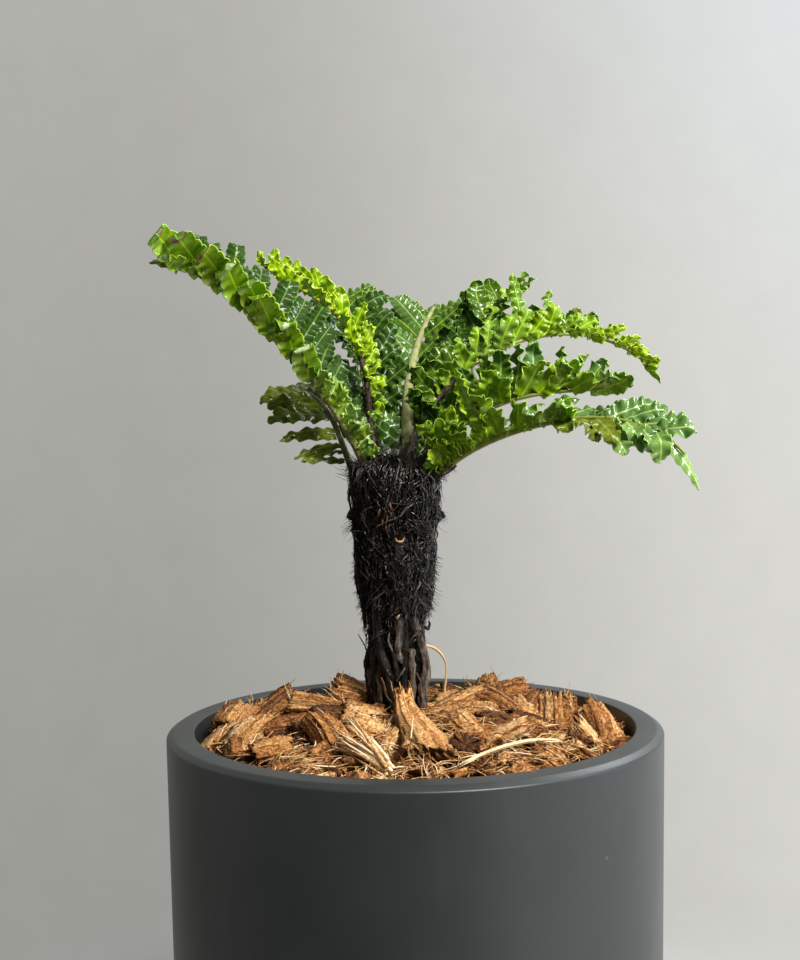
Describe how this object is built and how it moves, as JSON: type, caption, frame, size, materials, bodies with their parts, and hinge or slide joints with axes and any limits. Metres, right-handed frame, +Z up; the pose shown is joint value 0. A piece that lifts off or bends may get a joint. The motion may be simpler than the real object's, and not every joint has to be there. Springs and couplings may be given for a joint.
{
  "type": "potted dwarf tree fern",
  "caption": "Small tree fern with a black fibrous trunk and arching crisped fronds, in a straight-sided dark pot mulched with husk chips.",
  "frame": {"origin": "centre of the pot's flat underside", "axes": "+Z up along the trunk, -Y towards the side that the picture shows, +X to its right"},
  "size_m": [0.1572, 0.15, 0.2911],
  "materials": {
    "pot": "matte charcoal",
    "potting_mix": "damp and crumbly",
    "husk": "dry fibrous husk",
    "trunk": "black root fibre",
    "foliage": "glossy mid green",
    "foliage_bright": "glossy young yellow green"
  },
  "bodies": {
    "root": {"pot": "pot", "potting_mix": "potting_mix", "husk_mulch": "husk", "trunk": "trunk", "frond_left_high": "foliage", "frond_left_bright": "foliage_bright", "frond_back": "foliage", "frond_back_right": "foliage", "frond_right_arching": "foliage_bright", "frond_right_middle": "foliage", "frond_right_low": "foliage", "frond_left_low": "foliage", "frond_back_low": "foliage", "frond_back_left": "foliage"}
  },
  "joints": []
}
